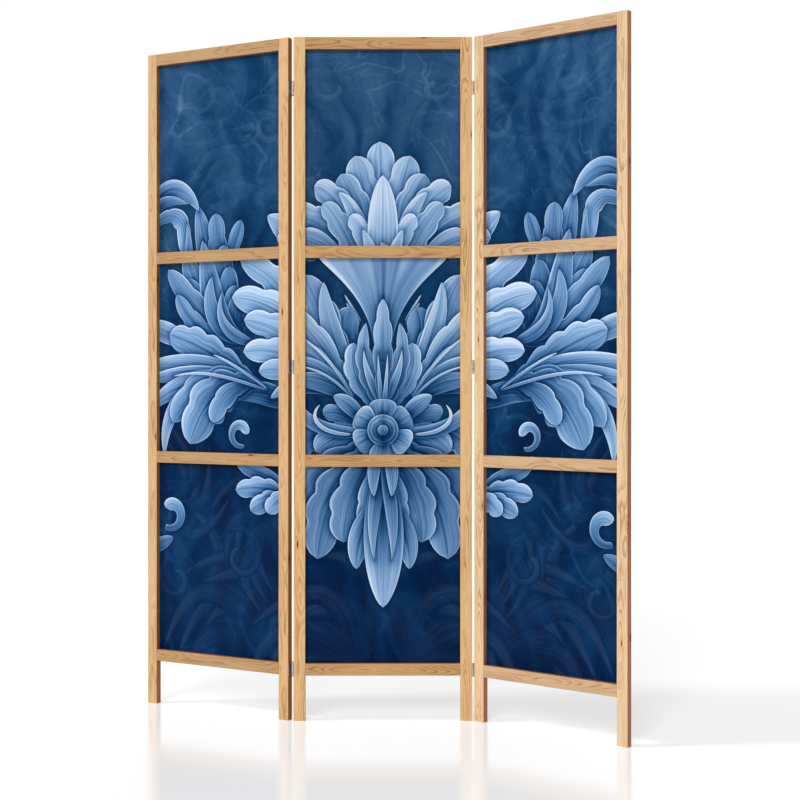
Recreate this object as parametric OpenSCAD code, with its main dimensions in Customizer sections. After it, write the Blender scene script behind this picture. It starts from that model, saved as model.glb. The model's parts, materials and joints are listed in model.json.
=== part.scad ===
// Three-panel folding partition wall. Each panel is a pine frame with a printed cloth
// held in a rabbet by beads, and the panels are joined by two-way screen hinges.
// The wall stands on its six feet with +Z up and its front towards -Y. The origin is
// the middle of its footprint, on the floor. Lengths are in millimetres.

/* [Frame] */
// Width of each panel over its stiles
panel_w = 446; // [300:1:600]
// Height of each panel from the floor to the top
panel_h = 1710; // [1200:1:2200]
// Thickness of the frame from front to back
frame_t = 18; // [15:0.5:30]
// Width of the upright stiles
stile_w = 29; // [27:0.5:50]
// Height of the top rail
top_rail_h = 30; // [25:0.5:60]
// Height of the two rails between the top and the bottom rail
mid_rail_h = 30; // [25:0.5:60]
// Height of the bottom rail
bottom_rail_h = 30; // [25:0.5:60]
// Clear height of the legs below the bottom rail
leg_h = 113; // [60:1:250]
// Bevel along the long edges of the frame
edge_ease = 0.8; // [0.2:0.1:1.5]

/* [Cloth and beads] */
// Width of the rabbet around the back of each frame
rabbet_w = 8; // [5:0.5:12]
// Depth of the rabbet, which sets how far back the cloth sits
rabbet_d = 5; // [3:0.5:6]
// Thickness of the printed cloth
cloth_t = 0.8; // [0.4:0.1:1.5]
// Gap between the edge of the cloth and the wall of the rabbet
cloth_gap = 0.5; // [0.2:0.1:2]
// Width of the beads that hold the cloth
bead_w = 8; // [6:0.5:14]
// Gap between the end of one bead and the next
bead_gap = 0.3; // [0.1:0.1:1]

/* [Dowels and brads] */
// Diameter of the dowels that join the rails to the stiles
dowel_d = 6; // [4:0.5:7]
// Length of a dowel, half of it in each piece
dowel_l = 30; // [20:1:32]
// Distance between the two dowels in the end of a rail
dowel_pitch = 15; // [10:0.5:17]
// Diameter of the brads in the beads
brad_d = 1.2; // [0.8:0.1:1.6]
// Length of a brad
brad_l = 12; // [8:0.5:13]
// Diameter of a brad's head
brad_head_d = 2; // [1.8:0.1:3]
// Height of a brad's head
brad_head_h = 0.8; // [0.5:0.1:1]
// Brads along each side bead in each of the three openings
side_brads = 2; // [1:1:4]
// Brads along each bead across the top and bottom
cross_brads = 3; // [2:1:6]

/* [Hinges] */
// Gap between two panels when they stand in line
panel_gap = 5; // [5:0.1:8]
// Height of a hinge
hinge_h = 33; // [28:1:60]
// Height of the middle of the bottom hinges above the floor
bottom_hinge_z = 128; // [90:1:250]
// Height of the middle of the middle hinges above the floor
middle_hinge_z = 885; // [600:1:1000]
// Drop from the top of the panel to the middle of the top hinges
top_hinge_drop = 127; // [90:1:250]
// Outside diameter of a hinge's knuckles
knuckle_d = 4.2; // [3.6:0.1:4.4]
// Distance of each pin's axis outside the face of the frame
pin_out = 1; // [0.5:0.1:3]
// Diameter of a hinge's pins
pin_d = 2.4; // [1.6:0.1:2.6]
// Diameter of the riveted ends of a pin
pin_head_d = 3.6; // [3:0.1:4]
// Height of each riveted end of a pin
pin_head_h = 0.8; // [0.4:0.1:2]
// Thickness of the two leaves
leaf_t = 1.2; // [0.8:0.1:1.3]
// Thickness of the link between the pins
link_t = 1.2; // [0.8:0.1:1.4]
// Gap between one knuckle and the next
knuckle_gap = 0.3; // [0.2:0.1:0.6]

/* [Hinge screws] */
// Distance between the two screws in a leaf
screw_pitch = 20; // [12:1:22]
// Diameter of a screw's shank
screw_d = 2.6; // [2:0.1:3.5]
// Diameter of a screw's countersunk head
screw_head_d = 5; // [4.2:0.1:6.5]
// Length of a screw
screw_l = 12; // [8:1:12]

/* [Standing pose] */
// Angle by which the left panel is folded to the back
left_fold = 30; // [0:1:90]
// Angle by which the right panel is folded to the front
right_fold = 40; // [0:1:90]

/* [Hidden] */
PANELS = ["left", "centre", "right"];
PIECES = ["left_stile", "right_stile", "top_rail", "upper_rail", "lower_rail", "bottom_rail",
          "cloth", "side_beads", "cross_beads", "dowels", "brads"];
SIDES = ["left", "right"];
LEVELS = ["top", "middle", "bottom"];
HINGE_PIECES = ["inner_leaf", "link", "outer_leaf"];
SIDE_PIECES = ["front_pins", "back_pins", "inner_screws", "outer_screws"];

$fn = 48;

// Clearance around dowels, brads and screws in their holes
hole_fit = 0.05;
// Clearance of a pin in the knuckles, and of its riveted ends above them
pin_fit = 0.05;
// Air space past the end of a dowel, brad or screw
hole_spare = 1;
// Gap between a moving knuckle and the plate beside it
swing_gap = 0.3;
// A cut runs this far past the face that it opens
cut = 1;

// Heights of the rails and of the three openings between them
opening_w = panel_w - 2 * stile_w;
opening_h = (panel_h - leg_h - bottom_rail_h - top_rail_h - 2 * mid_rail_h) / 3;
bottom_opening_z = leg_h + bottom_rail_h;
lower_rail_z = bottom_opening_z + opening_h;
middle_opening_z = lower_rail_z + mid_rail_h;
upper_rail_z = middle_opening_z + opening_h;
top_opening_z = upper_rail_z + mid_rail_h;
top_rail_z = panel_h - top_rail_h;

// The rabbet runs round the back of the frame, and the cloth lies against its floor
cloth_y = frame_t - rabbet_d;
rabbet_x = stile_w - rabbet_w;
rabbet_z = bottom_opening_z - rabbet_w;
rabbet_w_total = opening_w + 2 * rabbet_w;
rabbet_h_total = top_rail_z + rabbet_w - rabbet_z;
bead_y = cloth_y + cloth_t;
bead_t = frame_t - bead_y;
bead_ease = edge_ease / 2;

// Dowels sit in the middle of the wood in front of the rabbet
dowel_y = cloth_y / 2;
RAILS = [[top_rail_z, top_rail_h], [upper_rail_z, mid_rail_h],
         [lower_rail_z, mid_rail_h], [leg_h, bottom_rail_h]];

// Brads along the side beads keep clear of the rails, so of the dowels in them
side_brad_z = [for (z = [bottom_opening_z, middle_opening_z, top_opening_z], i = [1:side_brads])
    z + opening_h * (i - 0.5) / side_brads];
side_brad_x = [rabbet_x + bead_w / 2, panel_w - rabbet_x - bead_w / 2];
cross_brad_x = [for (i = [1:cross_brads]) stile_w + opening_w * (i - 0.5) / cross_brads];
cross_brad_z = [rabbet_z + bead_w / 2, rabbet_z + rabbet_h_total - bead_w / 2];
BRADS = concat(
    [for (x = side_brad_x, z = side_brad_z) [x, z]],
    [for (x = cross_brad_x, z = cross_brad_z) [x, z]]
);

// Hinge: a front pin and a back pin, a leaf on each, and a link that holds both
knuckles = 5;
knuckle_r = knuckle_d / 2;
knuckle_h = (hinge_h - (knuckles - 1) * knuckle_gap) / knuckles;
front_pin_y = -pin_out;
back_pin_y = frame_t + pin_out;
plate_y0 = front_pin_y + knuckle_r + swing_gap;
plate_y1 = back_pin_y - knuckle_r - swing_gap;
hinge_z = [panel_h - top_hinge_drop, middle_hinge_z, bottom_hinge_z];
screw_head_h = (screw_head_d - screw_d) / 2;
screw_tip_h = screw_d;
screw_slot_w = 0.7;
screw_slot_l = 2.8;
screw_slot_h = 0.8;

// Standing pose: the left panel turns about its back pins, the right about its front pins
joint_x = (panel_w + panel_gap) / 2;
function swing_pin(side) = side == "left" ? [-joint_x, back_pin_y] : [joint_x, front_pin_y];
function swing_angle(side) = side == "left" ? -left_fold : -right_fold;
function panel_x(panel) = -panel_w / 2
    + (panel == "left" ? -1 : panel == "right" ? 1 : 0) * (panel_w + panel_gap);

// Outline of an eased bar, w by t
function eased(w, t, ease) = [[ease, 0], [w - ease, 0], [w, ease], [w, t - ease],
    [w - ease, t], [ease, t], [0, t - ease], [0, ease]];

// Footprint of the standing wall, whose middle is the origin
function turned(p, pin, a) = [
    pin.x + (p.x - pin.x) * cos(a) - (p.y - pin.y) * sin(a),
    pin.y + (p.x - pin.x) * sin(a) + (p.y - pin.y) * cos(a)
];
footprint = concat(
    [for (p = eased(panel_w, frame_t, edge_ease)) [p.x + panel_x("centre"), p.y]],
    [for (side = SIDES, p = eased(panel_w, frame_t, edge_ease))
        turned([p.x + panel_x(side), p.y], swing_pin(side), swing_angle(side))],
    [[joint_x, front_pin_y - knuckle_r], [-joint_x, back_pin_y + knuckle_r]]
);
foot_x = [for (p = footprint) p.x];
foot_y = [for (p = footprint) p.y];
middle = [(min(foot_x) + max(foot_x)) / 2, (min(foot_y) + max(foot_y)) / 2, 0];

// Colours
WOOD = [[0.88, 0.71, 0.51], [0.82, 0.64, 0.43], [0.92, 0.79, 0.62]];
BEAD = [0.86, 0.72, 0.52];
BEECH = [0.80, 0.62, 0.42];
CLOTH = [0.20, 0.36, 0.56];
STEEL = [0.72, 0.72, 0.74];

function wood_of(panel) = WOOD[search([panel], PANELS)[0]];

// ---- Frame pieces, in a panel's own place: its left front foot at the origin ----

module upright(l, w, t, ease) {
    linear_extrude(l) polygon(eased(w, t, ease));
}

module crosswise(l, h, t, ease) {
    rotate([90, 0, 90]) linear_extrude(l) polygon(eased(t, h, ease));
}

module dowel_row(d, l) {
    for (rail = RAILS, x = [stile_w, panel_w - stile_w], side = [-1, 1])
        translate([x - l / 2, dowel_y, rail[0] + rail[1] / 2 + side * dowel_pitch / 2])
            rotate([0, 90, 0]) cylinder(d = d, h = l);
}

module dowel_holes() {
    dowel_row(dowel_d + 2 * hole_fit, dowel_l + 2 * hole_spare);
}

module brad(grow, spare) {
    rotate([90, 0, 0]) {
        cylinder(d = brad_d + grow, h = brad_l + spare);
        cylinder(d = brad_head_d + grow, h = brad_head_h);
    }
}

module brad_row(grow, spare) {
    for (at = BRADS)
        translate([at.x, frame_t, at.y]) brad(grow, spare);
}

module brad_holes() {
    brad_row(2 * hole_fit, hole_spare);
}

// The space that the cloth and the beads lie in
module rabbet() {
    translate([rabbet_x, cloth_y, rabbet_z])
        cube([rabbet_w_total, rabbet_d + cut, rabbet_h_total]);
}

module stile_blank() {
    difference() {
        upright(panel_h, stile_w, frame_t, edge_ease);
        rabbet();
        dowel_holes();
    }
}

module hinge_screw_holes() {
    for (z = hinge_z)
        translate([panel_w + panel_gap / 2, 0, z]) leaf_screws() screw_space();
}

module left_stile(hinged) {
    difference() {
        stile_blank();
        brad_holes();
        if (hinged)
            translate([panel_w, 0, 0]) mirror([1, 0, 0]) hinge_screw_holes();
    }
}

module right_stile(hinged) {
    difference() {
        translate([panel_w, 0, 0]) mirror([1, 0, 0]) stile_blank();
        brad_holes();
        if (hinged) hinge_screw_holes();
    }
}

module rail(z, h, t) {
    difference() {
        translate([stile_w, 0, z]) crosswise(opening_w, h, t, edge_ease);
        rabbet();
        dowel_holes();
        brad_holes();
    }
}

module cloth() {
    difference() {
        translate([rabbet_x + cloth_gap, cloth_y, rabbet_z + cloth_gap])
            cube([rabbet_w_total - 2 * cloth_gap, cloth_t, rabbet_h_total - 2 * cloth_gap]);
        brad_holes();
    }
}

module side_beads() {
    difference() {
        for (x = [rabbet_x, panel_w - rabbet_x - bead_w])
            translate([x, bead_y, rabbet_z]) upright(rabbet_h_total, bead_w, bead_t, bead_ease);
        brad_holes();
    }
}

module cross_beads() {
    l = rabbet_w_total - 2 * (bead_w + bead_gap);
    difference() {
        for (z = [rabbet_z, rabbet_z + rabbet_h_total - bead_w])
            translate([rabbet_x + bead_w + bead_gap, bead_y, z])
                crosswise(l, bead_w, bead_t, bead_ease);
        brad_holes();
    }
}

module panel_piece(panel, piece) {
    color(wood_of(panel)) {
        if (piece == "left_stile") left_stile(panel != "left");
        if (piece == "right_stile") right_stile(panel != "right");
        if (piece == "top_rail") rail(top_rail_z, top_rail_h, frame_t);
        if (piece == "upper_rail") rail(upper_rail_z, mid_rail_h, cloth_y);
        if (piece == "lower_rail") rail(lower_rail_z, mid_rail_h, cloth_y);
        if (piece == "bottom_rail") rail(leg_h, bottom_rail_h, frame_t);
    }
    color(CLOTH) if (piece == "cloth") cloth();
    color(BEAD) if (piece == "side_beads") side_beads();
    color(BEAD) if (piece == "cross_beads") cross_beads();
    color(BEECH) if (piece == "dowels") dowel_row(dowel_d, dowel_l);
    color(STEEL) if (piece == "brads") brad_row(0, 0);
}

// ---- Hinge pieces, about the middle of a right-hand joint, at the frame's front ----

// The knuckles with numbers from first on, every second one, on a pin at y
module knuckle_set(first, y) {
    for (i = [first:2:knuckles - 1])
        translate([0, y, i * (knuckle_h + knuckle_gap) - hinge_h / 2])
            cylinder(d = knuckle_d, h = knuckle_h);
}

// The straps that tie those knuckles to a plate, from y0 to y1
module knuckle_straps(first, x, t, y0, y1) {
    for (i = [first:2:knuckles - 1])
        translate([x, y0, i * (knuckle_h + knuckle_gap) - hinge_h / 2])
            cube([t, y1 - y0, knuckle_h]);
}

module pin_bore(y) {
    translate([0, y, -hinge_h / 2 - cut]) cylinder(d = pin_d + 2 * pin_fit, h = hinge_h + 2 * cut);
}

module plate(x, t) {
    translate([x, plate_y0, -hinge_h / 2]) cube([t, plate_y1 - plate_y0, hinge_h]);
}

module screw() {
    difference() {
        union() {
            cylinder(d1 = screw_head_d, d2 = screw_d, h = screw_head_h);
            cylinder(d = screw_d, h = screw_l - screw_tip_h);
            translate([0, 0, screw_l - screw_tip_h])
                cylinder(d1 = screw_d, d2 = screw_d / 8, h = screw_tip_h);
        }
        for (turn = [0, 90])
            rotate(turn) translate([-screw_slot_l / 2, -screw_slot_w / 2, -cut])
                cube([screw_slot_l, screw_slot_w, cut + screw_slot_h]);
    }
}

module screw_space() {
    grow = 2 * hole_fit;
    cylinder(d1 = screw_head_d + grow, d2 = screw_d + grow, h = screw_head_h);
    cylinder(d = screw_d + grow, h = screw_l + hole_spare);
}

// Both screws of the leaf on the right-hand joint's inner stile, pointing into the wood
module leaf_screws() {
    for (side = [-1, 1])
        translate([-panel_gap / 2 + leaf_t, frame_t / 2, side * screw_pitch / 2])
            rotate([0, -90, 0]) children();
}

module inner_leaf() {
    difference() {
        union() {
            plate(-panel_gap / 2, leaf_t);
            knuckle_set(0, front_pin_y);
            knuckle_straps(0, -panel_gap / 2, leaf_t, front_pin_y, plate_y0);
        }
        pin_bore(front_pin_y);
        leaf_screws() screw_space();
    }
}

module outer_leaf() {
    difference() {
        union() {
            plate(panel_gap / 2 - leaf_t, leaf_t);
            knuckle_set(0, back_pin_y);
            knuckle_straps(0, panel_gap / 2 - leaf_t, leaf_t, plate_y1, back_pin_y);
        }
        pin_bore(back_pin_y);
        mirror([1, 0, 0]) leaf_screws() screw_space();
    }
}

module link() {
    difference() {
        union() {
            plate(-link_t / 2, link_t);
            knuckle_set(1, front_pin_y);
            knuckle_set(1, back_pin_y);
            knuckle_straps(1, -link_t / 2, link_t, front_pin_y, back_pin_y);
        }
        pin_bore(front_pin_y);
        pin_bore(back_pin_y);
    }
}

module pin(y) {
    translate([0, y, -hinge_h / 2 - pin_fit]) {
        cylinder(d = pin_d, h = hinge_h + 2 * pin_fit);
        translate([0, 0, -pin_head_h]) cylinder(d = pin_head_d, h = pin_head_h);
        translate([0, 0, hinge_h + 2 * pin_fit]) cylinder(d = pin_head_d, h = pin_head_h);
    }
}

module hinge_piece(piece) {
    if (piece == "inner_leaf") inner_leaf();
    if (piece == "outer_leaf") outer_leaf();
    if (piece == "link") link();
    if (piece == "front_pins") pin(front_pin_y);
    if (piece == "back_pins") pin(back_pin_y);
    if (piece == "inner_screws") leaf_screws() screw();
    if (piece == "outer_screws") mirror([1, 0, 0]) leaf_screws() screw();
}

// ---- Places in the standing wall ----

module swung(side) {
    pin = swing_pin(side);
    translate(pin) rotate(swing_angle(side)) translate(-pin) children();
}

module on_panel(panel) {
    translate(-middle)
        if (panel == "centre") translate([panel_x(panel), 0, 0]) children();
        else swung(panel) translate([panel_x(panel), 0, 0]) children();
}

module joint_line(side) {
    if (side == "left") translate([-joint_x, 0, 0]) mirror([1, 0, 0]) children();
    else translate([joint_x, 0, 0]) children();
}

// The leaf and the screws on the centre panel stand still. Everything else in the right-hand
// hinges swings with the right panel, and in the left-hand ones only what is on that panel.
function stands_still(side, piece) = piece == "inner_leaf" || piece == "inner_screws"
    || (side == "left" && piece != "outer_leaf" && piece != "outer_screws");

module in_joint(side, piece) {
    color(STEEL) translate(-middle)
        if (stands_still(side, piece)) joint_line(side) children();
        else swung(side) joint_line(side) children();
}

for (panel = PANELS, piece = PIECES)
    on_panel(panel) panel_piece(panel, piece);

for (side = SIDES, level = [0:len(LEVELS) - 1], piece = HINGE_PIECES)
    in_joint(side, piece) translate([0, 0, hinge_z[level]]) hinge_piece(piece);

for (side = SIDES, piece = SIDE_PIECES)
    in_joint(side, piece)
            for (z = hinge_z) translate([0, 0, z]) hinge_piece(piece);
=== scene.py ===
import json
import math

import bmesh
import bpy
import numpy as np
from mathutils import Matrix, Vector, geometry


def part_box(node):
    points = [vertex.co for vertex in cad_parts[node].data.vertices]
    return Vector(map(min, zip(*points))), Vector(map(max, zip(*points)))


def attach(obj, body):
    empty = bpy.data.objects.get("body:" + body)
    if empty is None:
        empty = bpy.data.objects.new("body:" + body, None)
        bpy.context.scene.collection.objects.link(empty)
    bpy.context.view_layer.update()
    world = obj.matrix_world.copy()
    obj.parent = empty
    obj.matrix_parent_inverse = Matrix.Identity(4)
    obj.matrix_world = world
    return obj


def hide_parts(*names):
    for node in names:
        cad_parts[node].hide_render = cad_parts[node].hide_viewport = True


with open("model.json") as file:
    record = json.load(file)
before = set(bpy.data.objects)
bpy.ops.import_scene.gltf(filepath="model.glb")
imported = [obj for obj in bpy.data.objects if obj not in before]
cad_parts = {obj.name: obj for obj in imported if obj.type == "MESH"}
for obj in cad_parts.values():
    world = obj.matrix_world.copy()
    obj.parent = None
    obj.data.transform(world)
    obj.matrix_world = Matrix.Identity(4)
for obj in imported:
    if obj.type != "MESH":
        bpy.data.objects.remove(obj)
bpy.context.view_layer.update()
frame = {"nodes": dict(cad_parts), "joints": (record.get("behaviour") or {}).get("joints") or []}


# ---- Viewpoint ----------------------------------------------------------------------------
# A viewer stands almost square to the centre panel, at half the wall's height and about
# four metres away. The view is level and is shifted down a little to take in the feet.
eye_right = 0.043
eye_away = 3.939
eye_height = 0.850
view_lens = 70.9
view_drop = -0.0238

rail_low, rail_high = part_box("centre_panel_top_rail")
camera_data = bpy.data.cameras.new("viewer")
camera_data.lens = view_lens
camera_data.shift_y = view_drop
camera = bpy.data.objects.new("viewer", camera_data)
camera.location = (
    (rail_low.x + rail_high.x) / 2 + eye_right,
    rail_low.y - eye_away,
    eye_height,
)
camera.rotation_euler = (math.radians(90), 0, 0)
bpy.context.collection.objects.link(camera)
bpy.context.scene.camera = camera
bpy.context.scene.view_settings.view_transform = "Standard"


# ---- Floor and daylight -------------------------------------------------------------------
# The wall stands on a pale, slightly polished floor that runs on past every side. A broad
# soft light comes over the viewer's left shoulder and the room around gives even fill.
floor_half = 14.0
floor_roughness = 0.14
floor_gloss = 0.30
floor_glow = 0.26
lights = {
    "key": (Vector((-0.30, -0.92, 0.60)), 1.50, 22),
    "side": (Vector((-0.84, -0.10, 0.70)), 1.35, 9),
}
room_fill = 0.40


def dye(red, green, blue):
    """A colour from its three screen values, 0 to 255, as the shaders want it."""
    return tuple((part / 255) ** 2.2 for part in (red, green, blue)) + (1.0,)


def add(tree, kind, inputs=None, **settings):
    """Adds a shader node, sets its options, and sets or links its inputs."""
    made = tree.nodes.new(kind)
    for name, value in settings.items():
        setattr(made, name, value)
    for name, value in (inputs or {}).items():
        if isinstance(value, bpy.types.NodeSocket):
            tree.links.new(value, made.inputs[name])
        else:
            made.inputs[name].default_value = value
    return made


def finish_of(name):
    """A new material with one Principled shader: returns the material, its tree, the shader."""
    material = bpy.data.materials.new(name)
    material.use_nodes = True
    tree = material.node_tree
    tree.nodes.clear()
    shader = add(tree, "ShaderNodeBsdfPrincipled")
    add(tree, "ShaderNodeOutputMaterial", {"Surface": shader.outputs[0]})
    return material, tree, shader


def calc(tree, what, *terms, clamp=False):
    """One sum on numbers or sockets."""
    return add(tree, "ShaderNodeMath", dict(enumerate(terms)),
               operation=what, use_clamp=clamp).outputs[0]


def rise(tree, value, low, high, bottom=0.0, top=1.0):
    """A smooth rise from bottom to top while value goes from low to high."""
    made = add(tree, "ShaderNodeMapRange", {"Value": value, "From Min": low, "From Max": high,
               "To Min": bottom, "To Max": top}, interpolation_type="SMOOTHSTEP")
    return made.outputs["Result"]


bm = bmesh.new()
bmesh.ops.create_grid(bm, x_segments=1, y_segments=1, size=floor_half)
floor_mesh = bpy.data.meshes.new("floor")
bm.to_mesh(floor_mesh)
bm.free()
floor = bpy.data.objects.new("floor", floor_mesh)
bpy.context.collection.objects.link(floor)

floor_finish, tree, shader = finish_of("pale_floor")
shader.inputs["Base Color"].default_value = dye(222, 222, 222)
shader.inputs["Roughness"].default_value = floor_roughness
shader.inputs["Specular IOR Level"].default_value = floor_gloss
shader.inputs["Emission Color"].default_value = dye(255, 255, 255)
shader.inputs["Emission Strength"].default_value = floor_glow
floor_mesh.materials.append(floor_finish)

for name, (comes_from, power, spread) in lights.items():
    light_data = bpy.data.lights.new(name, "SUN")
    light_data.energy = power
    light_data.angle = math.radians(spread)
    light = bpy.data.objects.new(name, light_data)
    light.rotation_euler = comes_from.to_track_quat("Z", "Y").to_euler()
    bpy.context.collection.objects.link(light)

room = bpy.data.worlds.new("room")
room.use_nodes = True
tree = room.node_tree
tree.nodes.clear()
paths = add(tree, "ShaderNodeLightPath").outputs
seen = calc(tree, "MAXIMUM", paths["Is Camera Ray"], paths["Is Glossy Ray"])
glow = rise(tree, seen, 0, 1, room_fill, 1.0)
glow = add(tree, "ShaderNodeBackground", {"Color": (1, 1, 1, 1), "Strength": glow})
add(tree, "ShaderNodeOutputWorld", {"Surface": glow.outputs[0]})
bpy.context.scene.world = room


# ---- Stiles and rails ---------------------------------------------------------------------
# Each panel is a frame of planed pine battens: two full-height stiles that run on as legs,
# and four rails between them. The faces are lightly waxed and the edges eased by hand.
panels = ("left", "centre", "right")
fold_joint = {"left": "left_back_pins", "right": "right_front_pins"}
ring_gap = 3.7
heart_off = 25.0
drift_across = 46.0
drift_deep = 64.0
knot_share = 0.45
knot_push = 9.0
ring_waver = 3.4
late_wood = 0.70
grain_relief = 0.0002
wax_gloss = 0.35
pore_brown = dye(120, 74, 36)
knot_halo = dye(176, 108, 54)
knot_brown = dye(88, 50, 26)
# Painted shade: the brown laid over the narrow edges of every board.
painted_edge_shade = dye(178, 130, 76)
batten_pale = {"left": (210, 170, 121), "centre": (224, 182, 125), "right": (219, 187, 147)}
batten_dark = {"left": (160, 112, 66), "centre": (160, 112, 64), "right": (166, 124, 84)}
rail_tone = {
    "left": (0.87, 0.85, 0.83),
    "centre": (0.88, 0.85, 0.81),
    "right": (0.90, 0.87, 0.84),
}
joints = {joint["name"]: joint for joint in frame["joints"]}


def fold_of(panel):
    """How far a panel stands turned from the flat wall, in radians: its joint's upper stop."""
    if panel not in fold_joint:
        return 0.0
    return -math.radians(joints[fold_joint[panel]]["range_deg"][1])


def tint(tree, amount, under, over, how="MIX"):
    """Lays the colour over on the colour under, by amount."""
    made = add(tree, "ShaderNodeMix", {0: amount, 6: under, 7: over},
               data_type="RGBA", blend_type=how)
    return made.outputs[2]


def cloud(tree, vector, scale, detail=3.0, rough=0.55):
    """Soft noise on a vector: returns the noise node."""
    return add(tree, "ShaderNodeTexNoise", {"Vector": vector, "Scale": scale, "Detail": detail,
               "Roughness": rough})


def board_space(tree, node, panel, across_panel):
    """A board's own directions, across, through, along: places in millimetres, and facings."""
    low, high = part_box(node)
    turn = Matrix.Rotation(-fold_of(panel), 3, "Z")
    if across_panel:
        turn = Matrix.Rotation(math.radians(90), 3, "Y") @ turn
    place = -(turn @ ((low + high) / 2)) * 1000
    here = add(tree, "ShaderNodeTexCoord").outputs
    board = add(tree, "ShaderNodeMapping", {"Vector": here["Object"], "Location": place,
                "Rotation": turn.to_euler(), "Scale": (1000, 1000, 1000)})
    facing = add(tree, "ShaderNodeMapping", {"Vector": here["Normal"],
                 "Rotation": turn.to_euler()}, vector_type="VECTOR")
    return board.outputs[0], facing.outputs[0]


def group_of(name, inputs, outputs):
    """A new shader group with named sockets: returns its tree, its inputs and its output node."""
    tree = bpy.data.node_groups.new(name, "ShaderNodeTree")
    for label, (kind, value) in inputs.items():
        socket = tree.interface.new_socket(label, in_out="INPUT", socket_type=kind)
        if value is not None:
            socket.default_value = value
    for label, kind in outputs.items():
        tree.interface.new_socket(label, in_out="OUTPUT", socket_type=kind)
    return tree, tree.nodes.new("NodeGroupInput").outputs, tree.nodes.new("NodeGroupOutput")


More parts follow.
